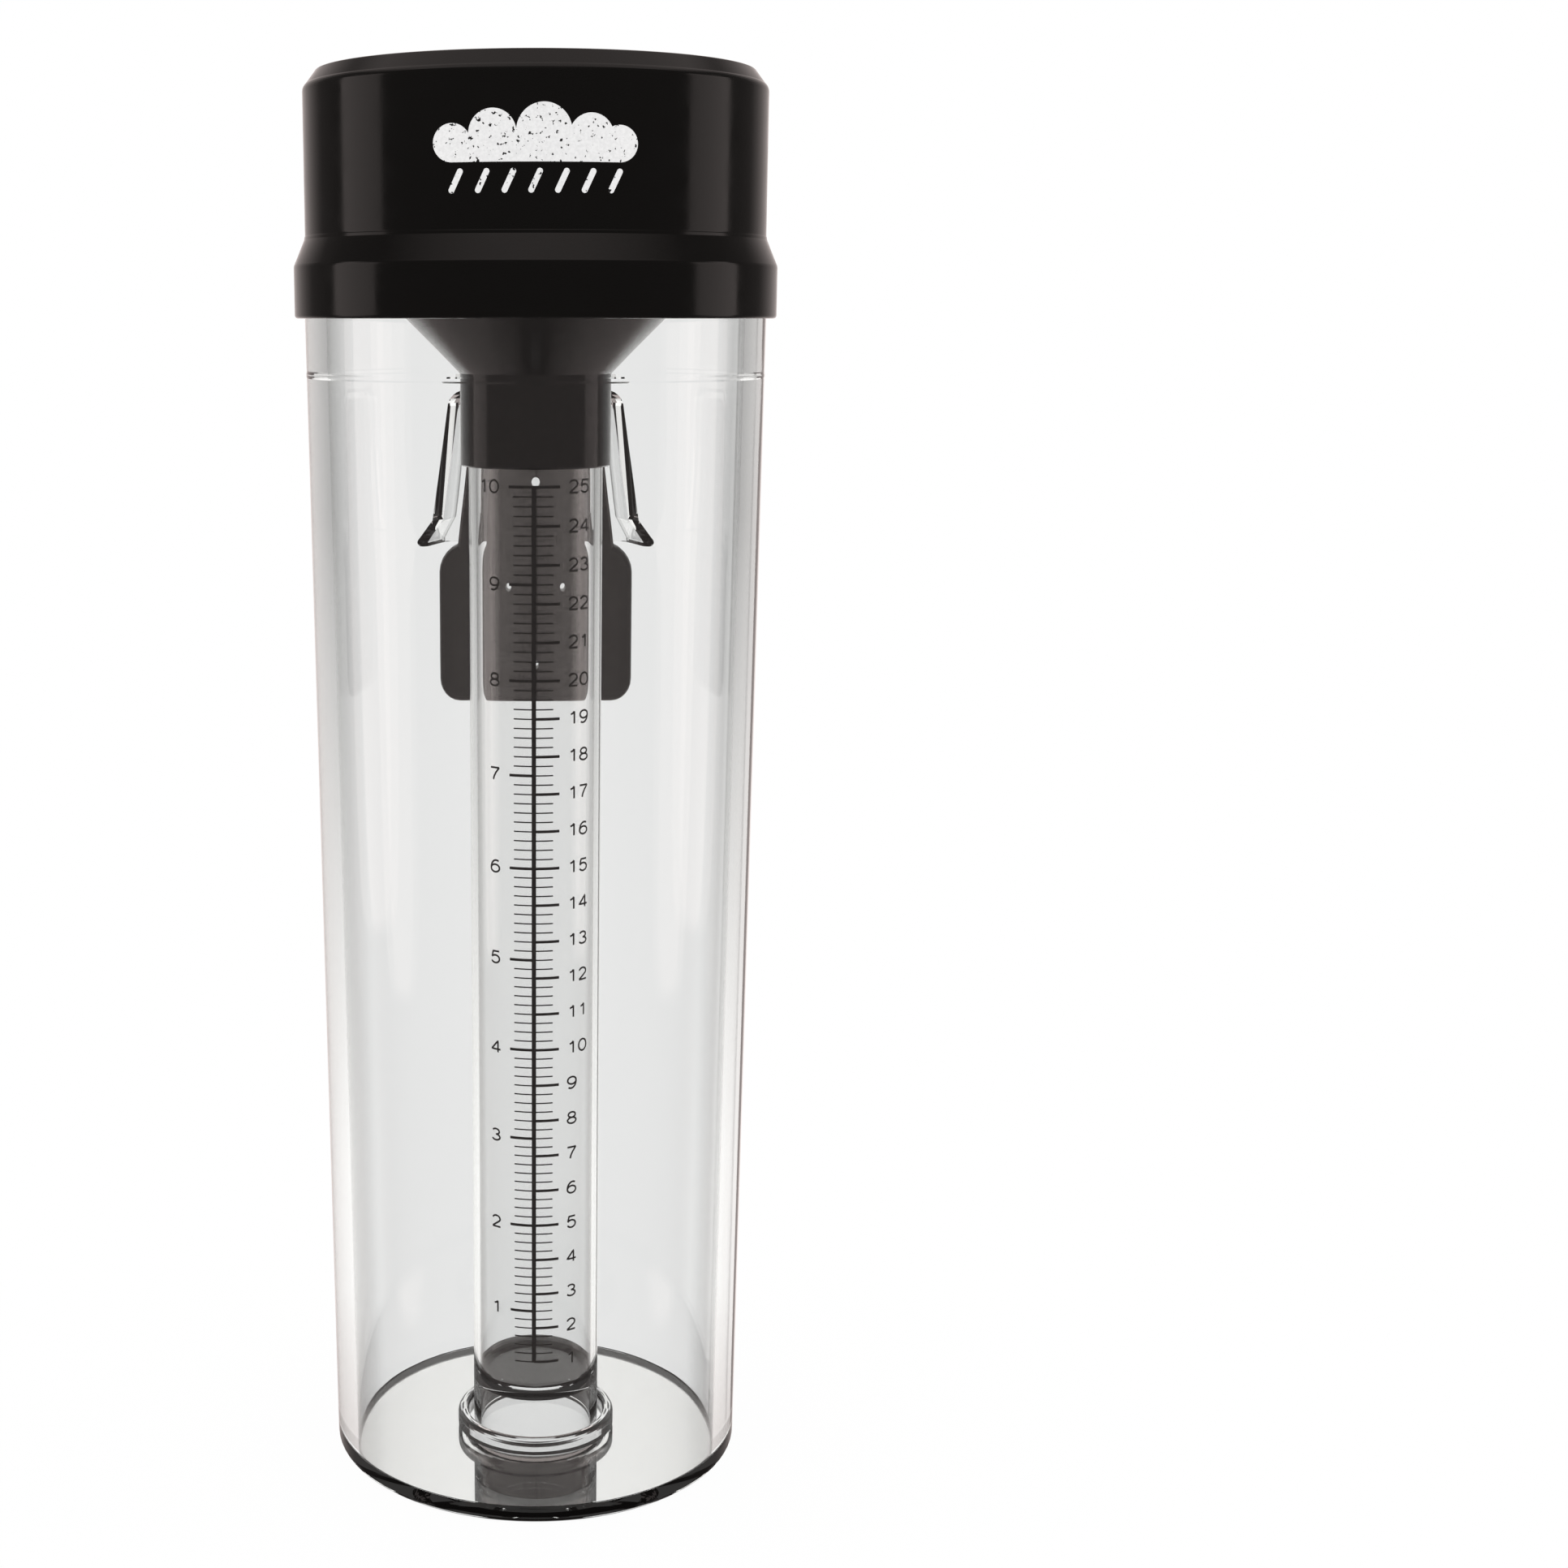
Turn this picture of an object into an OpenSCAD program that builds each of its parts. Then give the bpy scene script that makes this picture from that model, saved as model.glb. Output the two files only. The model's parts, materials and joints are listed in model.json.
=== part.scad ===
// Manual rain gauge: a clear overflow tube with a hanger pocket, a graduated
// measuring tube that stands inside it, a funnel lid and a wall bracket.
// Origin: centre of the outer tube's underside. +Z up, +Y towards the bracket.

/* [Rain scale] */
// Rain depth that the measuring tube holds, in millimetres of rain
scale_mm = 25; // [10:1:26]
// Lowest rain depth that is marked, in millimetres of rain
first_mark_mm = 1; // [1:1:5]
// Times the measuring tube enlarges the rain depth
magnification = 10; // [8:0.5:10]
// Height of the scale's zero above the surface the gauge stands on
zero_z = 18.5; // [16:0.5:22]
// Turn of the print round the tube, in degrees
print_turn = -1.5; // [-10:0.5:10]

/* [Measuring tube] */
// Outer radius of the measuring tube
inner_r = 17.6; // [17:0.1:17.6]
// Wall of the measuring tube
inner_wall = 1.85; // [1.8:0.05:3]
// Height of the measuring tube's rim
inner_top_z = 291.4; // [285:0.2:291.6]

/* [Outer tube] */
// Outer radius at the base
base_r = 56.2; // [55:0.1:57]
// Outer radius at the lid's lower edge
mouth_r = 59.5; // [58.5:0.1:59.6]
// Wall of the outer tube
outer_wall = 5.35; // [4:0.05:5.6]
// Thickness of the tube's floor
floor_t = 2.8; // [2:0.1:3.2]
// Height of the outer tube's rim
rim_z = 325.2; // [322:0.2:325.2]

/* [Funnel lid] */
// Height of the skirt's lower edge
skirt_z = 310.5; // [309:0.5:312]
// Outer radius of the skirt
skirt_r = 62.1; // [62:0.1:64]
// Outer radius of the lid's body
lid_r = 59.1; // [58.5:0.1:59.5]
// Overall height of the gauge
lid_top_z = 371.5; // [365:0.5:390]
// Height of the neck's lower end
neck_z = 273; // [268:0.5:276]
// Radius of the drain hole
drain_r = 4; // [2:0.5:4.5]

/* [Bracket] */
// Half the width of the screw plate
plate_hw = 30.4; // [28:0.2:33]
// Height of the plate's lower edge
plate_z = 200.8; // [190:0.2:205]
// Height where the plate becomes the tongue
shoulder_z = 246.6; // [244:0.2:247]
// Distance from the gauge's axis to the face on the post
post_y = 66.5; // [66.4:0.1:69]
// Radius of the upper screw hole
screw_r = 1.6; // [1.5:0.1:2.2]
// Radius of the three lower pin holes
pin_r = 1.2; // [1:0.1:1.8]

/* [Hidden] */
$fn = 96;
gap = 0.3;
eps = 0.01;

// Outer tube
draft = (mouth_r - base_r) / skirt_z;
function tube_r(z) = base_r + draft * z;
foot_fillet = 1.8;
floor_fillet = 0.6;
rim_fillet = 0.9;
ring_z = 296.2;
ring_hw = 0.75;
ring_proud = 0.1;
ring_flat_hw = 0.35;
collar_in_r = 19;
collar_out_r = 22.1;
collar_h = 4.6;

// Hanger pocket: half widths are at its root, inside the tube's wall
pocket_top_z = 290.8;
pocket_low_z = 247.2;
pocket_t = 2.6;
root_y = 46;
root_top_hw = 28.7;
root_low_hw = 33.5;
rear_shrink = 5.6;
flare_z = 254.3;
flare_hw = 36.3;
flare_tip_r = 1.3;
rear_edge_r = 2.2;
lip_y = 63.1;
lip_t = 2.3;
pocket_corner_r = 5;
rib_z = 294.4;
rib_h = 1.3;
rib_hw = 24.1;
rib_y = 62;

// Measuring tube
bore_r = inner_r - inner_wall;
foot_z = floor_t + gap;
membrane_t = 2.2;
foot_r = 0.8;
bore_fillet = 3;

// Scale
mark_step = magnification / 4;
first_mark = first_mark_mm * 4;
last_mark = scale_mm * 4;
ink_t = 0.05;
line_w = 1.15;
long_mark_t = 0.74;
short_mark_t = 0.35;
left_long = 6.4;
left_short = 5.25;
right_long = 6.65;
right_short = 5;

// Lid
catch_r = bore_r * sqrt(magnification);
lid_wall = 3;
collector_wall = 3;
cone_wall = 2.2;
neck_r = 19.7;
neck_in_r = inner_r + gap;
cone_start_z = 296.6;
seat_z = rim_z + gap;
skirt_in_r = tube_r(rim_z) + gap;
skirt_edge_r = 0.8;
step_low_z = 324.4;
step_high_z = 330.6;
step_edge_r = 2.4;
step_edge_drop = 1.4;
step_foot_r = 1.2;
step_foot_w = 0.25;
rim_drop = 0.2;
land_drop = 0.6;
bevel_drop = 4.3;
bevel_r = 55.8;
bevel_slope = 52;
bevel_edge_r = 2.2;
bevel_edge_drop = 0.9;
land_edge_r = 1;
land_edge_drop = 0.4;
tip_z = 281.5;
tip_wall = 1.2;
neck_edge = 0.4;
skirt_lead = 0.5;

// Emblem
emblem_z = 346;
emblem_half_h = 16;
emblem_t = 0.05;
dash_r = 0.7;
dash_run = 2;
dash_drop = 4.2;

// Bracket
tongue_top_z = 287.9;
tongue_top_hw = 19.4;
tongue_low_hw = 24.3;
tongue_y = 59.7;
flange_t = 2.9;
stem_top_hw = 11.5;
stem_low_hw = 16.5;
plate_front_t = 3;
plate_rim_w = 3;
plate_top_corner_r = 8;
plate_low_corner_r = 6.5;
plate_edge_r = 1.6;
tongue_edge_r = 0.8;
tongue_corner_r = 3.7;
screw_z = 264.5;
pin_pair_z = 234.4;
pin_pair_x = 10.8;
low_pin_z = 211.7;
boss_r = 4.2;

// Points of an arc about [x, y], from angle a to angle b
function arc(x, y, r, a, b, n = 6) = [
  for (i = [0:n])
    let (turn = a + (b - a) * i / n)
      [x + r * cos(turn), y + r * sin(turn)]
];

// A slab in the XZ plane, from y to y + t, whose outline is the child
module slab(y, t) {
  translate([0, y + t, 0])
    rotate([90, 0, 0])
      linear_extrude(t)
        children();
}

// ---- outer tube ----

// The wall's outside, from the rounded foot to the rim, closed on the axis
module tube_outside() {
  rotate_extrude()
    polygon(concat(
      [[0, 0]],
      arc(tube_r(foot_fillet) - foot_fillet, foot_fillet, foot_fillet, -90, 0),
      [[tube_r(ring_z - ring_hw), ring_z - ring_hw]],
      [[tube_r(ring_z) + ring_proud, ring_z - ring_flat_hw]],
      [[tube_r(ring_z) + ring_proud, ring_z + ring_flat_hw]],
      [[tube_r(ring_z + ring_hw), ring_z + ring_hw]],
      arc(tube_r(rim_z) - rim_fillet, rim_z - rim_fillet, rim_fillet, 0, 90),
      [[0, rim_z]]
    ));
}

// The space inside the wall, with a small radius where it meets the floor
module tube_inside() {
  low_r = tube_r(floor_t) - outer_wall;
  top_r = tube_r(rim_z) - outer_wall;
  rotate_extrude()
    polygon(concat(
      [[0, floor_t]],
      arc(low_r - floor_fillet, floor_t + floor_fillet, floor_fillet, -90, 0),
      [[top_r, rim_z + eps]],
      [[0, rim_z + eps]]
    ));
}

// The ring on the floor that centres the measuring tube
module floor_collar() {
  round_r = (collar_out_r - collar_in_r) / 2;
  mid_r = (collar_out_r + collar_in_r) / 2;
  rotate_extrude()
    polygon(concat(
      [[collar_in_r, floor_t - eps]],
      [[collar_out_r, floor_t - eps]],
      arc(mid_r, floor_t + collar_h - round_r, round_r, 0, 180, 10)
    ));
}

// Outline of the pocket's main part, a taper with two round upper corners
module pocket_outline(inset, shrink, low_z) {
  top_hw = root_top_hw - shrink - inset;
  low_hw = root_low_hw - shrink - inset;
  top_z = pocket_top_z - inset;
  corner_r = pocket_corner_r - inset / 2;
  polygon(concat(
    [[-low_hw, low_z], [low_hw, low_z]],
    arc(top_hw - corner_r, top_z - corner_r, corner_r, 0, 90),
    arc(corner_r - top_hw, top_z - corner_r, corner_r, 90, 180)
  ));
}

// Outline of the flared mouth under it: its outside has two round tips
module mouth_outline(inset, shrink, low_z) {
  taper = (root_low_hw - root_top_hw) / (pocket_top_z - pocket_low_z);
  top_hw = root_low_hw - taper * (flare_z - pocket_low_z) - shrink - inset;
  low_hw = flare_hw - shrink - inset;
  tip = inset < pocket_t
    ? arc(low_hw - flare_tip_r, low_z + flare_tip_r, flare_tip_r, -90, 45)
    : [[low_hw, low_z], [low_hw, low_z + flare_tip_r]];
  polygon(concat(
    tip,
    [[top_hw, flare_z], [-top_hw, flare_z]],
    [for (i = [len(tip) - 1:-1:0]) [-tip[i][0], tip[i][1]]]
  ));
}

// How far the sides have drawn in at a distance y from the gauge's axis
function shrink_at(y) = rear_shrink * (y - root_y) / (lip_y + lip_t - root_y);

// The pocket's filled shape, from its root to its rear face with a round edge
module pocket_body(inset, rear_y, edge_r) {
  low_z = pocket_low_z - (inset > 0 ? eps : 0);
  hull() {
    slab(root_y, eps)
      pocket_outline(inset, 0, low_z);
    for (turn = [0:30:90]) {
      y = rear_y - edge_r * (1 - sin(turn)) - eps;
      slab(y, eps)
        pocket_outline(inset + edge_r * (1 - cos(turn)), shrink_at(y), low_z);
    }
  }
  hull() {
    slab(root_y, eps)
      mouth_outline(inset, 0, low_z);
    for (turn = [0:30:90]) {
      y = rear_y - edge_r * (1 - sin(turn)) - eps;
      slab(y, eps)
        mouth_outline(inset + edge_r * (1 - cos(turn)), shrink_at(y), low_z);
    }
  }
}

// Slot between the pocket's lips, which the bracket's stem runs in
module stem_slot() {
  play = 1;
  slab(root_y, post_y - root_y)
    polygon([
      [-stem_low_hw - play, pocket_low_z - 1],
      [stem_low_hw + play, pocket_low_z - 1],
      [stem_top_hw + play, tongue_top_z + gap],
      [-stem_top_hw - play, tongue_top_z + gap]
    ]);
}

module hanger_pocket() {
  difference() {
    pocket_body(0, lip_y + lip_t, rear_edge_r);
    pocket_body(pocket_t, lip_y, 0);
    stem_slot();
  }
}

module pocket_rib() {
  translate([-rib_hw, root_y, rib_z - rib_h / 2])
    cube([2 * rib_hw, rib_y - root_y, rib_h]);
}

module outer_tube() {
  color([0.93, 0.94, 0.94, 0.35])
    difference() {
      union() {
        tube_outside();
        hanger_pocket();
        pocket_rib();
      }
      difference() {
        tube_inside();
        floor_collar();
      }
    }
}

// ---- measuring tube ----

module inner_tube() {
  color([0.93, 0.94, 0.94, 0.35])
    rotate_extrude()
      polygon(concat(
        [[0, zero_z - membrane_t]],
        [[bore_r, zero_z - membrane_t]],
        [[bore_r, foot_z]],
        arc(inner_r - foot_r, foot_z + foot_r, foot_r, -90, 0),
        [[inner_r, inner_top_z]],
        [[bore_r, inner_top_z]],
        arc(bore_r - bore_fillet, zero_z + bore_fillet, bore_fillet, 0, -90),
        [[0, zero_z]]
      ));
}

// A mark of the scale, reaching out from the scale's middle line
module mark(z, reach, thick) {
  translate([reach < 0 ? reach : 0, z - thick / 2])
    square([abs(reach), thick]);
}

// The whole scale laid flat: the middle line and its marks on both sides
module flat_scale() {
  translate([-line_w / 2, zero_z + first_mark * mark_step])
    square([line_w, (last_mark - first_mark) * mark_step]);
  for (i = [first_mark:last_mark]) {
    z = zero_z + i * mark_step;
    mark(z, i % 10 == 0 ? -left_long : -left_short, i % 10 == 0 ? long_mark_t : short_mark_t);
    mark(z, i % 4 == 0 ? right_long : right_short, i % 4 == 0 ? long_mark_t : short_mark_t);
  }
}

// A film of ink of the given thickness on a cylinder's front
module ink_on(radius, low_z, high_z, thick) {
  intersection() {
    translate([0, 0, low_z])
      difference() {
        cylinder(r = radius + thick, h = high_z - low_z);
        translate([0, 0, -1])
          cylinder(r = radius, h = high_z - low_z + 2);
      }
    slab(-radius - 1, radius + 1)
      children();
  }
}

module printed_scale() {
  color([0.13, 0.12, 0.12])
    rotate([0, 0, print_turn])
      ink_on(inner_r, zero_z, zero_z + (last_mark + 1) * mark_step, ink_t)
        flat_scale();
}

// ---- funnel lid ----

// Height of the cone's upper and lower faces at a radius: both slope at 45 degrees
function cone_under_z(r) = cone_start_z + r - neck_r;
function cone_over_z(r) = cone_under_z(r) + cone_wall * sqrt(2);

module funnel_lid() {
  collector_r = catch_r + collector_wall;
  land_z = lid_top_z - land_drop;
  bevel_z = lid_top_z - bevel_drop;
  color([0.07, 0.067, 0.06])
    rotate_extrude()
      polygon(concat(
        // Inside the catch, from the sharp rim down the cone to the drain
        [[catch_r, lid_top_z - rim_drop]],
        [[catch_r, cone_over_z(catch_r)]],
        [[drain_r, cone_over_z(drain_r)]],
        [[drain_r, tip_z]],
        // Drip tip, then the neck's inside, lower end and outside
        [[drain_r + tip_wall, tip_z]],
        [[drain_r + tip_wall + 1, cone_under_z(drain_r + tip_wall + 1)]],
        [[neck_in_r, cone_under_z(neck_in_r)]],
        [[neck_in_r, neck_z]],
        [[neck_r - neck_edge, neck_z]],
        [[neck_r, neck_z + neck_edge]],
        [[neck_r, cone_start_z]],
        // Under the cone, up between the collector and the body, and down
        [[collector_r, cone_under_z(collector_r)]],
        [[collector_r, land_z - lid_wall]],
        [[bevel_r - lid_wall, land_z - lid_wall]],
        [[lid_r - lid_wall, bevel_z - lid_wall]],
        [[lid_r - lid_wall, seat_z]],
        // Seat on the tube's rim, and the skirt
        [[skirt_in_r, seat_z]],
        [[skirt_in_r, skirt_z + skirt_lead]],
        [[skirt_in_r + skirt_lead, skirt_z]],
        arc(skirt_r - skirt_edge_r, skirt_z + skirt_edge_r, skirt_edge_r, -90, 0, 4),
        // Round edge of the step, its slope and the small radius at its top
        arc(skirt_r - step_edge_r, step_low_z - step_edge_drop, step_edge_r, 0, 27, 4),
        [[lid_r + step_foot_w, step_high_z - step_foot_r / 2]],
        arc(lid_r + step_foot_r, step_high_z + step_foot_r / 2, step_foot_r, 205, 180, 3),
        // Round edges of the bevel and of the land round the catch
        arc(lid_r - bevel_edge_r, bevel_z - bevel_edge_drop, bevel_edge_r, 0, bevel_slope, 5),
        arc(bevel_r - land_drop, land_z - land_edge_drop, land_edge_r, bevel_slope, 90, 4)
      ));
}

// A slanting dash of rain, hanging from [x, z]
module rain_dash(x, z) {
  hull() {
    translate([x, z])
      circle(r = dash_r, $fn = 24);
    translate([x - dash_run, z - dash_drop])
      circle(r = dash_r, $fn = 24);
  }
}

// Generic cloud: five lobes on a flat base
module cloud() {
  lobes = [[-19.5, 4.4, 4.4], [-10, 6.4, 5.6], [2, 6.8, 6.5], [13, 5.8, 5.2], [19.6, 4.2, 4.2]];
  translate([lobes[0][0], 0])
    square([lobes[4][0] - lobes[0][0], 6.6]);
  for (lobe = lobes)
    translate([lobe[0], lobe[1]])
      circle(r = lobe[2]);
}

module lid_emblem() {
  color([0.93, 0.93, 0.93])
    ink_on(lid_r, emblem_z - emblem_half_h, emblem_z + emblem_half_h, emblem_t)
      union() {
        translate([0, emblem_z])
          cloud();
        for (i = [0:6])
          rain_dash(6.2 * i - 17.6, emblem_z - 2.1);
      }
}

// ---- mounting bracket ----

// Plate's outline with its four round corners
module plate_outline(inset) {
  hw = plate_hw - inset;
  low_z = plate_z + inset;
  top_z = shoulder_z - inset;
  top_r = plate_top_corner_r - inset;
  low_r = plate_low_corner_r - inset;
  polygon(concat(
    arc(hw - low_r, low_z + low_r, low_r, -90, 0),
    arc(hw - top_r, top_z - top_r, top_r, 0, 90),
    arc(top_r - hw, top_z - top_r, top_r, 90, 180),
    arc(low_r - hw, low_z + low_r, low_r, 180, 270)
  ));
}

// Tapered outline that stands on the plate
module tongue_outline(low_hw, top_hw, inset) {
  corner_x = top_hw - tongue_corner_r;
  corner_z = tongue_top_z - tongue_corner_r;
  polygon(concat(
    [[inset - low_hw, shoulder_z - plate_rim_w], [low_hw - inset, shoulder_z - plate_rim_w]],
    [[low_hw - inset, shoulder_z]],
    arc(corner_x, corner_z, tongue_corner_r - inset, 0, 90),
    arc(-corner_x, corner_z, tongue_corner_r - inset, 90, 180),
    [[inset - low_hw, shoulder_z]]
  ));
}

// A round boss or hole along Y
module along_y(x, z, r, y0, y1) {
  translate([x, y0, z])
    rotate([-90, 0, 0])
      cylinder(r = r, h = y1 - y0);
}

module screw_plate() {
  difference() {
    hull() {
      slab(tongue_y, eps)
        plate_outline(plate_edge_r);
      slab(tongue_y + plate_edge_r * 0.3, eps)
        plate_outline(plate_edge_r * 0.3);
      slab(tongue_y + plate_edge_r, post_y - tongue_y - plate_edge_r)
        plate_outline(0);
    }
    slab(tongue_y + plate_front_t, post_y)
      plate_outline(plate_rim_w);
  }
}

module mounting_bracket() {
  pins = [[pin_pair_x, pin_pair_z], [-pin_pair_x, pin_pair_z], [0, low_pin_z]];
  color([0.2, 0.19, 0.18])
    difference() {
      union() {
        screw_plate();
        hull() {
          slab(tongue_y, eps)
            tongue_outline(tongue_low_hw, tongue_top_hw, tongue_edge_r);
          slab(tongue_y + tongue_edge_r, flange_t - tongue_edge_r)
            tongue_outline(tongue_low_hw, tongue_top_hw, 0);
        }
        slab(tongue_y + flange_t - eps, post_y - tongue_y - flange_t + eps)
          tongue_outline(stem_low_hw, stem_top_hw, 0);
        for (p = pins)
          along_y(p[0], p[1], boss_r, tongue_y + 1, post_y);
      }
      along_y(0, screw_z, screw_r, tongue_y - 1, post_y + 1);
      for (p = pins)
        along_y(p[0], p[1], pin_r, tongue_y - 1, post_y + 1);
    }
}

outer_tube();
inner_tube();
printed_scale();
funnel_lid();
lid_emblem();
mounting_bracket();
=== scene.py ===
import json
import math

import bmesh
import bpy
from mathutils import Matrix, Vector


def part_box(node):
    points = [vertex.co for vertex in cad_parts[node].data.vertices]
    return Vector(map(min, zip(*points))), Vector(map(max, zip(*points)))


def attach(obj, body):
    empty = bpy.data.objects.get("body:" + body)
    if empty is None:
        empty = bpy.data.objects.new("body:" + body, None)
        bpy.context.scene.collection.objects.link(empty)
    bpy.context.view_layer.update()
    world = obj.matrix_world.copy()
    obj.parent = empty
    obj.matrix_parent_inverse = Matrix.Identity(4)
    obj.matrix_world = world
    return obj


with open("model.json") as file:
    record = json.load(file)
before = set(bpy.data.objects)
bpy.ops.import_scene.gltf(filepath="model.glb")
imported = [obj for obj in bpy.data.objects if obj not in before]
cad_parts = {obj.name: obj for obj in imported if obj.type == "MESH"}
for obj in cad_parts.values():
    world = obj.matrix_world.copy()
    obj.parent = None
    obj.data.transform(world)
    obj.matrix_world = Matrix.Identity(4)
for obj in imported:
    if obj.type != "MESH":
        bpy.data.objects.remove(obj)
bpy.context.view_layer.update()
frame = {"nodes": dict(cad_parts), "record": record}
MM = 0.001

# ---------------------------------------------------------------- node helpers


def new_material(name):
    """A material with an empty tree: returns it, its tree and its output node."""
    mat = bpy.data.materials.new(name)
    mat.use_nodes = True
    tree = mat.node_tree
    tree.nodes.clear()
    return mat, tree, tree.nodes.new("ShaderNodeOutputMaterial")


def node(tree, kind, **settings):
    """A node of that kind, with its properties and its inputs' values set by name."""
    made = tree.nodes.new(kind)
    for name, value in settings.items():
        key = name.replace("_", " ")
        if key in made.inputs:
            made.inputs[key].default_value = value
        else:
            setattr(made, name, value)
    return made


def math_node(tree, operation, a, b=0.0):
    """The result of a sum on one or two values, each a number or a socket."""
    made = tree.nodes.new("ShaderNodeMath")
    made.operation = operation
    for socket, value in zip(made.inputs, (a, b)):
        if isinstance(value, (int, float)):
            socket.default_value = value
        else:
            tree.links.new(value, socket)
    return made.outputs[0]


def spread(tree, value, low, high, to_low=0.0, to_high=1.0):
    """value mapped from low..high to to_low..to_high, clamped."""
    made = tree.nodes.new("ShaderNodeMapRange")
    tree.links.new(value, made.inputs["Value"])
    made.inputs["From Min"].default_value = low
    made.inputs["From Max"].default_value = high
    made.inputs["To Min"].default_value = to_low
    made.inputs["To Max"].default_value = to_high
    return made.outputs["Result"]


def noise(tree, scale, detail=3.0, stretch=(1, 1, 1)):
    """Noise over the piece's own coordinates, scale in features per metre."""
    where = tree.nodes.new("ShaderNodeTexCoord")
    moved = tree.nodes.new("ShaderNodeMapping")
    moved.inputs["Scale"].default_value = stretch
    tree.links.new(where.outputs["Object"], moved.inputs["Vector"])
    made = node(tree, "ShaderNodeTexNoise", Scale=scale, Detail=detail)
    tree.links.new(moved.outputs["Vector"], made.inputs["Vector"])
    return made.outputs["Fac"]


def bump(tree, height, distance):
    """A normal roughened by height, distance metres deep."""
    made = node(tree, "ShaderNodeBump", Strength=1.0, Distance=distance)
    tree.links.new(height, made.inputs["Height"])
    return made.outputs["Normal"]


# ------------------------------------------------------------------- materials


def clear_plastic():
    """Moulded clear plastic: faint scuffs along the tubes and a slight wave in the walls."""
    mat, tree, out = new_material("clear_plastic")
    shader = node(tree, "ShaderNodeBsdfPrincipled", Base_Color=(0.975, 0.98, 0.978, 1), IOR=1.49)
    shader.inputs["Transmission Weight"].default_value = 1.0
    scuffs = noise(tree, 420, 4, (1, 1, 0.25))
    tree.links.new(spread(tree, scuffs, 0.45, 0.8, 0.001, 0.012), shader.inputs["Roughness"])
    tree.links.new(bump(tree, noise(tree, 38, 2), 0.000006), shader.inputs["Normal"])
    tree.links.new(shader.outputs[0], out.inputs["Surface"])
    return mat


def black_plastic():
    """Glossy black plastic of the lid."""
    mat, tree, out = new_material("black_plastic")
    shader = node(tree, "ShaderNodeBsdfPrincipled", Base_Color=(0.003, 0.0028, 0.0025, 1), IOR=1.5)
    tree.links.new(spread(tree, noise(tree, 160, 5), 0.3, 0.7, 0.10, 0.16), shader.inputs["Roughness"])
    tree.links.new(bump(tree, noise(tree, 900, 2), 0.000004), shader.inputs["Normal"])
    tree.links.new(shader.outputs[0], out.inputs["Surface"])
    return mat


def bracket_plastic():
    """Satin black plastic of the bracket, with a fine grain."""
    mat, tree, out = new_material("bracket_plastic")
    shader = node(tree, "ShaderNodeBsdfPrincipled", Base_Color=(0.009, 0.0083, 0.008, 1), IOR=1.5)
    tree.links.new(spread(tree, noise(tree, 500, 4), 0.3, 0.7, 0.38, 0.5), shader.inputs["Roughness"])
    tree.links.new(bump(tree, noise(tree, 2500, 3), 0.00002), shader.inputs["Normal"])
    tree.links.new(shader.outputs[0], out.inputs["Surface"])
    return mat


def ink(name, colour, worn, specks=0.0, bare=(0.01, 0.0095, 0.009)):
    """Printed ink, mottled between two colours, with specks worn down to the plastic."""
    mat, tree, out = new_material(name)
    shader = node(tree, "ShaderNodeBsdfPrincipled", Roughness=0.45)
    mottle = node(tree, "ShaderNodeMix", data_type="RGBA", A=(*colour, 1), B=(*worn, 1))
    tree.links.new(spread(tree, noise(tree, 1500, 4), 0.35, 0.65), mottle.inputs["Factor"])
    print_colour = mottle
    if specks:
        print_colour = node(tree, "ShaderNodeMix", data_type="RGBA", B=(*bare, 1))
        grain = spread(tree, noise(tree, 1100, 6), 0.665 - specks, 0.675 - specks)
        tree.links.new(grain, print_colour.inputs["Factor"])
        tree.links.new(mottle.outputs["Result"], print_colour.inputs["A"])
    tree.links.new(print_colour.outputs["Result"], shader.inputs["Base Color"])
    tree.links.new(bump(tree, noise(tree, 3000, 2), 0.00001), shader.inputs["Normal"])
    tree.links.new(shader.outputs[0], out.inputs["Surface"])
    return mat


FINISHES = {
    "clear_plastic": clear_plastic(),
    "black_plastic": black_plastic(),
    "bracket_plastic": bracket_plastic(),
    "black_ink": ink("black_ink", (0.016, 0.014, 0.013), (0.02, 0.018, 0.017)),
    "white_ink": ink("white_ink", (0.86, 0.86, 0.86), (0.78, 0.78, 0.78), specks=0.04),
}

for part in frame["record"]["subparts"]:
    holder = frame["nodes"][part["node"]].data
    holder.materials.clear()
    holder.materials.append(FINISHES[part["material_slot"]])

# -------------------------------------------------------------------- numerals

scale_low, scale_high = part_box("printed_scale")
TUBE_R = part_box("inner_tube")[1].x
# Height of a long mark, and the rain depths of the first and the last one
LONG_MARK = 0.74 * MM
FIRST_MARK = 1
SCALE_TOP = 25
MM_IN_A_TENTH = 2.5
# Where each column of numerals starts, in degrees round the tube from its front
RIGHT_COLUMN = 28.6
LEFT_COLUMN = -32.1
INK_T = 0.05 * MM
LAYER_RISE = 0.05
DIGIT_H = 3.2 * MM
DIGIT_W = 3.1 * MM
DIGIT_GAP = 0.55 * MM
STROKE_W = 0.5 * MM
STEP = 0.35 * MM
rain_mm = (scale_high.z - scale_low.z - LONG_MARK) / (SCALE_TOP - FIRST_MARK)


def mark_z(depth):
    """Height of the mark for a rain depth in millimetres."""
    return scale_low.z + LONG_MARK / 2 + (depth - FIRST_MARK) * rain_mm


def bow(x, y, rx, ry, start, end, count=20):
    """Points of an elliptical arc about (x, y), from one angle to another in degrees."""
    turns = [math.radians(start + (end - start) * i / count) for i in range(count + 1)]
    return [(x + rx * math.cos(t), y + ry * math.sin(t)) for t in turns]


def half_turn(strokes):
    """The strokes turned upside down in their box."""
    return [[(1 - x, 1 - y) for x, y in stroke] for stroke in strokes]


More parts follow.
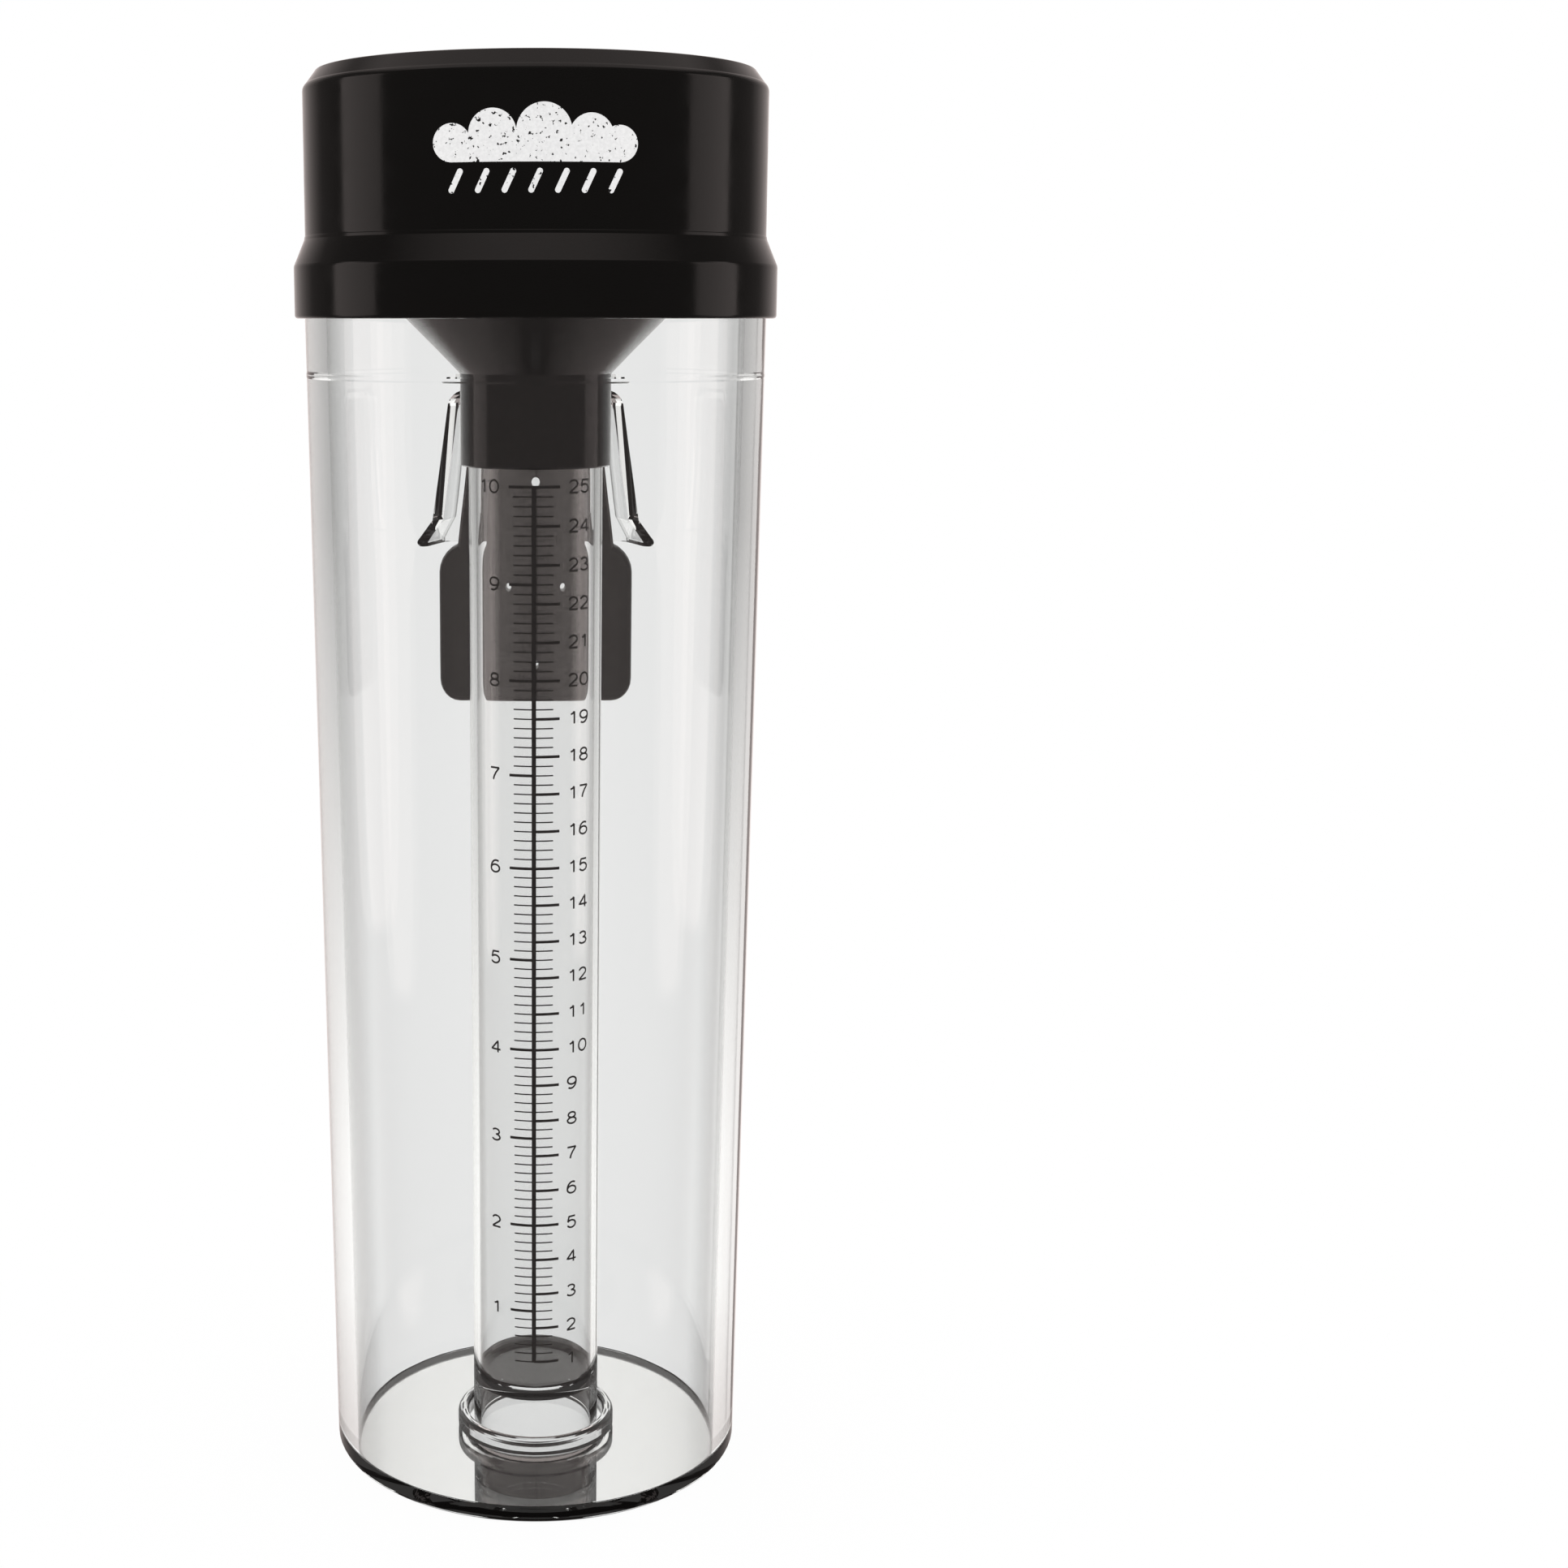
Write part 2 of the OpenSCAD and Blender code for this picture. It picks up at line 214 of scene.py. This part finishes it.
# Strokes of each digit in a box one wide and one high
SIX = [
    bow(0.5, 0.32, 0.44, 0.32, 0, 360, 28),
    bow(0.6, 0.36, 0.54, 0.64, 62, 180) + [(0.06, 0.32)],
]
DIGITS = {
    "0": [bow(0.5, 0.5, 0.45, 0.5, 0, 360, 32)],
    "1": [[(0.26, 0.78), (0.48, 0.86), (0.62, 1)], [(0.62, 1), (0.62, 0)]],
    "2": [bow(0.48, 0.7, 0.4, 0.3, 165, -38) + [(0.08, 0.02)], [(0.06, 0), (0.92, 0)]],
    "3": [
        bow(0.47, 0.76, 0.36, 0.24, 155, -90),
        bow(0.47, 0.26, 0.43, 0.26, 90, -155),
    ],
    "4": [[(0.72, 0), (0.72, 1), (0.05, 0.27), (0.98, 0.27)]],
    "5": [[(0.88, 1), (0.24, 1), (0.12, 0.5)], bow(0.48, 0.33, 0.43, 0.33, 148, -155)],
    "6": SIX,
    "7": [[(0.06, 1), (0.94, 1)], [(0.94, 1), (0.62, 0.62), (0.42, 0.28), (0.34, 0)]],
    "8": [
        bow(0.5, 0.76, 0.36, 0.24, -90, 270, 26),
        bow(0.5, 0.26, 0.44, 0.26, 90, 450, 28),
    ],
    "9": half_turn(SIX),
}


def fine(points):
    """The same line with points no further than STEP apart, so that it wraps round the tube."""
    made = [points[0]]
    for start, end in zip(points, points[1:]):
        count = max(1, math.ceil((end - start).length / STEP))
        made += [start.lerp(end, i / count) for i in range(1, count + 1)]
    return made


def add_ribbon(bm, points, on_tube, thick):
    """A flat bar of ink along a line laid out flat, wrapped by on_tube and closed all round."""
    rings = []
    for i, point in enumerate(points):
        along = (points[min(i + 1, len(points) - 1)] - points[max(i - 1, 0)]).normalized()
        side = Vector((-along.y, along.x)) * STROKE_W / 2
        corners = ((point - side, 0), (point + side, 0), (point + side, thick), (point - side, thick))
        rings.append([bm.verts.new(on_tube(where, height)) for where, height in corners])
    for near, far in zip(rings, rings[1:]):
        for i in range(4):
            bm.faces.new((near[i], near[(i + 1) % 4], far[(i + 1) % 4], far[i]))
    bm.faces.new(reversed(rings[0]))
    bm.faces.new(rings[-1])


def numerals(name, labels, angle, align):
    """Labels wrapped on the tube at an angle from its front, each a (text, z), aligned left or right."""
    bm = bmesh.new()
    pitch = DIGIT_W + DIGIT_GAP
    for text, z in labels:
        shift = 0 if align == "left" else -(pitch * len(text) - DIGIT_GAP)

        def on_tube(where, height, shift=shift, z=z):
            turn = math.radians(angle) + (where.x + shift) / TUBE_R
            r = TUBE_R + height
            return Vector((r * math.sin(turn), -r * math.cos(turn), z + where.y - DIGIT_H / 2))

        for place, digit in enumerate(text):
            for layer, stroke in enumerate(DIGITS[digit]):
                line = [Vector((place * pitch + x * DIGIT_W, y * DIGIT_H)) for x, y in stroke]
                add_ribbon(bm, fine(line), on_tube, INK_T * (1 + LAYER_RISE * layer))
    bmesh.ops.recalc_face_normals(bm, faces=bm.faces)
    mesh = bpy.data.meshes.new(name)
    bm.to_mesh(mesh)
    bm.free()
    mesh.materials.append(FINISHES["black_ink"])
    made = bpy.data.objects.new(name, mesh)
    bpy.context.scene.collection.objects.link(made)
    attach(made, "measuring_tube")
    return made


in_mm = [(str(n), mark_z(n)) for n in range(FIRST_MARK, SCALE_TOP + 1)]
in_tenths = [(str(n), mark_z(n * MM_IN_A_TENTH)) for n in range(1, 11)]
numerals("millimetre_numerals", in_mm, RIGHT_COLUMN, "left")
numerals("inch_numerals", in_tenths, LEFT_COLUMN, "right")

# ----------------------------------------------------------------------- stage

# Tint of the softboxes, and of the light wall behind the gauge
WARM = (1.0, 0.88, 0.85)
CLEAN = (1.0, 0.988, 0.972)
# The outer tube's base and its rounding at the foot, and the disc under its middle where the floor
# glows: painted light
BASE_R = 56.2 * MM
FOOT_FILLET = 1.8 * MM
GLOW_DISC_R = 19.5 * MM
GLOW_DISC_EDGE = 1.0 * MM
BASE_EDGE = 0.5 * MM
# Where the studio changes, as pairs of degrees to go from and to: see ray_direction
BACK_STARTS = (112, 128)
FLOOR_STARTS = (-24, -34)
TOP_STARTS = (36, 48)
# Middle and half size of the side softboxes that mirrored rays see
SIDE_BOX = (94, 14.5)
SIDE_BOX_UP = (4, 20)
# Counts on a ray's path, halfway between whole numbers
ANY = 0.5
# Past these counts the studio paints a ray lighter (DEEP_WALLS) or dark (the rest): painted light and
# painted shade
DEEP_WALLS = 5.5
TRAPPED_TURNS = 2.5
PAINTED_SHADE_TURNS = 4.5
GUIDED_STEPS = 7.5
FAR_STEPS = 10.5
# Grey levels of painted shade: the dark that the studio gives rays caught in or crossing many clear
# walls, and the dark that the floor gives them under the base
PAINTED_SHADE_LEVEL = 0.03
UNDER_BASE_PAINTED_SHADE = 0.003


def light_path(tree, name, above):
    """1 where the ray's path has that count above the number, else 0."""
    path = tree.nodes.new("ShaderNodeLightPath")
    return math_node(tree, "GREATER_THAN", path.outputs[name], above)


def blend(tree, factor, low, high):
    """low where factor is 0, high where it is 1."""
    made = node(tree, "ShaderNodeMix")
    for name, value in (("Factor", factor), ("A", low), ("B", high)):
        if isinstance(value, (int, float)):
            made.inputs[name].default_value = value
        else:
            tree.links.new(value, made.inputs[name])
    return made.outputs["Result"]


def turn_into(tree, level, value, low, high, target):
    """level, which turns into target as value goes from low to high."""
    return blend(tree, spread(tree, value, low, high), level, target)


def ray_direction(tree):
    """Where a ray that leaves the scene is heading, in degrees.

    around is 0 in front of the gauge (-Y), 90 at its sides and 180 behind; up is the elevation.
    """
    where = tree.nodes.new("ShaderNodeTexCoord")
    parts = tree.nodes.new("ShaderNodeSeparateXYZ")
    tree.links.new(where.outputs["Generated"], parts.inputs[0])
    across = math_node(tree, "ABSOLUTE", parts.outputs["X"])
    ahead = math_node(tree, "MULTIPLY", parts.outputs["Y"], -1)
    around = math_node(tree, "DEGREES", math_node(tree, "ARCTAN2", across, ahead))
    up = math_node(tree, "DEGREES", math_node(tree, "ARCSINE", parts.outputs["Z"]))
    return around, up


def off_centre(tree, value, centre, half):
    """0 at the centre, 1 at half from it, and flat nearly all the way between."""
    away = math_node(tree, "ABSOLUTE", math_node(tree, "SUBTRACT", value, centre))
    return math_node(tree, "POWER", spread(tree, away, 0, half), 6)


def studio_room(tree, around, up, through):
    """Grey level that a mirrored ray sees: softboxes at the sides, and a light wall behind. The same
    place is set at other levels for a ray that clear walls mirror or let pass than for one off an
    outside, mostly lighter, and lighter again after many clear walls: painted light and painted shade.

    through is 1 for a ray that clear walls mirror or let pass, and 0 for one off an outside.
    """
    # Painted light: the studio brighter for rays that have crossed many clear walls
    deep = light_path(tree, "Transmission Depth", DEEP_WALLS)
    front = blend(tree, through, 0.08, blend(tree, deep, 0.26, 0.42))
    wall = spread(tree, around, 132, 176, 0.47, 0.93)
    wall = turn_into(tree, wall, up, -5, -21, 1.18)
    wall = turn_into(tree, wall, up, 4, 10, 1.25)
    back = spread(tree, around, 130, 156, 0.1, 0.55)
    back = turn_into(tree, back, around, 160, 176, 1.05)
    back = blend(tree, through, back, wall)
    room = turn_into(tree, front, around, *BACK_STARTS, back)
    room = turn_into(tree, room, up, *FLOOR_STARTS, blend(tree, through, 0.1, 0.5))
    room = turn_into(tree, room, up, *TOP_STARTS, blend(tree, through, 0.55, 0.4))
    beside = off_centre(tree, around, *SIDE_BOX)
    above = off_centre(tree, up, *SIDE_BOX_UP)
    inside = spread(tree, math_node(tree, "ADD", beside, above), 0.85, 1.0, 1.0, 0.0)
    box = blend(tree, through, 0.56, blend(tree, deep, 0.8, 1.3))
    rear_of_box = blend(tree, through, 0.73, blend(tree, deep, 1.0, 1.6))
    box = turn_into(tree, box, around, 80, 108, rear_of_box)
    return blend(tree, inside, room, box)


def lost_rays(tree, behind, up):
    """1 for a ray that has crossed or been caught by so many clear walls that the studio paints it dark:
    painted shade.
    """
    far = math_node(tree, "MULTIPLY", behind, light_path(tree, "Ray Depth", FAR_STEPS))
    trapped = light_path(tree, "Glossy Depth", TRAPPED_TURNS)
    guided = math_node(tree, "MULTIPLY", trapped, light_path(tree, "Ray Depth", GUIDED_STEPS))
    shaded = math_node(tree, "MAXIMUM", far, guided)
    falling = math_node(tree, "MULTIPLY", behind, spread(tree, up, -4, -7))
    shaded = blend(tree, math_node(tree, "MULTIPLY", trapped, falling), shaded, 0.0)
    return math_node(tree, "MAXIMUM", shaded, light_path(tree, "Glossy Depth", PAINTED_SHADE_TURNS))


def studio_world():
    """White to the camera, a grey studio to mirrored rays, painted shade to rays seen through clear
    walls, and a painted dark to rays that have crossed or been caught by many clear walls.
    """
    world = bpy.data.worlds.new("studio")
    bpy.context.scene.world = world
    world.use_nodes = True
    tree = world.node_tree
    tree.nodes.clear()
    out = tree.nodes.new("ShaderNodeOutputWorld")
    around, up = ray_direction(tree)
    mirrored = light_path(tree, "Glossy Depth", ANY)
    through = light_path(tree, "Transmission Depth", ANY)
    # Painted shade: rays seen through clear walls get grey, darker the further they turn from straight
    # behind, where the camera gets white
    bent = spread(tree, around, 150, 167, 0.26, 0.935)
    seen = blend(tree, through, 1.0, bent)
    level = blend(tree, mirrored, seen, studio_room(tree, around, up, through))
    behind = spread(tree, around, *BACK_STARTS)
    # Painted shade: rays caught in or crossing many clear walls see a dark level in place of the studio
    level = blend(tree, lost_rays(tree, behind, up), level, PAINTED_SHADE_LEVEL)
    clean = math_node(tree, "MULTIPLY", behind, spread(tree, up, *reversed(FLOOR_STARTS)))
    clean = math_node(tree, "MULTIPLY", through, clean)
    tint = node(tree, "ShaderNodeMix", data_type="RGBA", A=(*WARM, 1), B=(*CLEAN, 1))
    tree.links.new(clean, tint.inputs["Factor"])
    colour = node(tree, "ShaderNodeMix", data_type="RGBA", A=(1, 1, 1, 1))
    tree.links.new(mirrored, colour.inputs["Factor"])
    tree.links.new(tint.outputs["Result"], colour.inputs["B"])
    light = node(tree, "ShaderNodeBackground")
    tree.links.new(colour.outputs["Result"], light.inputs["Color"])
    tree.links.new(level, light.inputs["Strength"])
    tree.links.new(light.outputs[0], out.inputs["Surface"])


def floor():
    """A pale floor: only the camera sees it in the open; under the base it is a mirror round a glowing
    disc of painted light, and dark to rays deep in the clear walls, painted shade.
    """
    size = 3.0
    corners = [(-size, -size, 0), (size, -size, 0), (size, size, 0), (-size, size, 0)]
    mesh = bpy.data.meshes.new("floor")
    mesh.from_pydata(corners, [], [(0, 1, 2, 3)])
    mat, tree, out = new_material("floor")
    where = tree.nodes.new("ShaderNodeTexCoord")
    away = node(tree, "ShaderNodeVectorMath", operation="LENGTH")
    tree.links.new(where.outputs["Object"], away.inputs[0])
    away = away.outputs["Value"]

    def mixed(factor, low, high):
        made = tree.nodes.new("ShaderNodeMixShader")
        tree.links.new(factor, made.inputs[0])
        tree.links.new(low.outputs[0], made.inputs[1])
        tree.links.new(high.outputs[0], made.inputs[2])
        return made

    def glow(level):
        return node(tree, "ShaderNodeEmission", Color=(level, level, level, 1))

    matt = node(tree, "ShaderNodeBsdfDiffuse", Color=(0.9, 0.9, 0.9, 1))
    clear = tree.nodes.new("ShaderNodeBsdfTransparent")
    open_floor = mixed(spread(tree, away, 0.06, 0.2, 0.03, 0.0), glow(1.0), matt)
    open_floor = mixed(light_path(tree, "Ray Depth", ANY), open_floor, clear)
    mirror = node(tree, "ShaderNodeBsdfGlossy", Color=(0.95, 0.95, 0.95, 1), Roughness=0.0)
    # Painted light: a glowing disc of floor under the middle of the base, inside the mirror
    under_base = mixed(spread(tree, away, GLOW_DISC_R, GLOW_DISC_R + GLOW_DISC_EDGE), glow(0.9), mirror)
    # Painted shade: the floor under the base goes dark for rays that have taken many steps through the
    # clear walls
    guided = light_path(tree, "Ray Depth", GUIDED_STEPS)
    under_base = mixed(guided, under_base, glow(UNDER_BASE_PAINTED_SHADE))
    flat_r = BASE_R - FOOT_FILLET
    shader = mixed(spread(tree, away, flat_r, flat_r + BASE_EDGE), under_base, open_floor)
    tree.links.new(shader.outputs[0], out.inputs["Surface"])
    mesh.materials.append(mat)
    made = bpy.data.objects.new("floor", mesh)
    made.location.z = -0.2 * MM
    bpy.context.scene.collection.objects.link(made)


def softbox(name, centre, target, width, height, radiance):
    """A rectangular studio light that faces target and isn't seen itself."""
    lamp = bpy.data.lights.new(name, "AREA")
    lamp.shape = "RECTANGLE"
    lamp.size = width
    lamp.size_y = height
    lamp.energy = radiance * math.pi * width * height
    lamp.color = WARM
    made = bpy.data.objects.new(name, lamp)
    made.location = centre
    made.rotation_euler = (Vector(target) - Vector(centre)).to_track_quat("-Z", "Y").to_euler()
    made.visible_camera = False
    made.visible_glossy = False
    made.visible_transmission = False
    bpy.context.scene.collection.objects.link(made)


studio_world()
floor()
for side in (-1, 1):
    softbox(f"side_softbox_{side}", (side * 0.6, 0.04, 0.46), (0, 0.04, 0.2), 0.38, 0.88, 0.75)
softbox("overhead_softbox", (0, -0.1, 1.1), (0, -0.1, 0), 1.2, 1.2, 0.42)

# ---------------------------------------------------------------------- camera

CAMERA_AWAY = 610.6 * MM
CAMERA_UP = 310.5 * MM
CAMERA_DOWN = 12.0
camera_data = bpy.data.cameras.new("camera")
camera_data.sensor_width = 36
camera_data.lens = 52.9
camera_data.shift_x = 0.1584
camera_data.shift_y = 0.0155
camera = bpy.data.objects.new("camera", camera_data)
camera.location = (0, -CAMERA_AWAY, CAMERA_UP)
camera.rotation_euler = (math.radians(90 - CAMERA_DOWN), 0, 0)
bpy.context.scene.collection.objects.link(camera)
bpy.context.scene.camera = camera

scene = bpy.context.scene
scene.view_settings.view_transform = "Standard"
scene.cycles.max_bounces = 32
scene.cycles.transmission_bounces = 28
scene.cycles.glossy_bounces = 12
scene.cycles.use_denoising = True
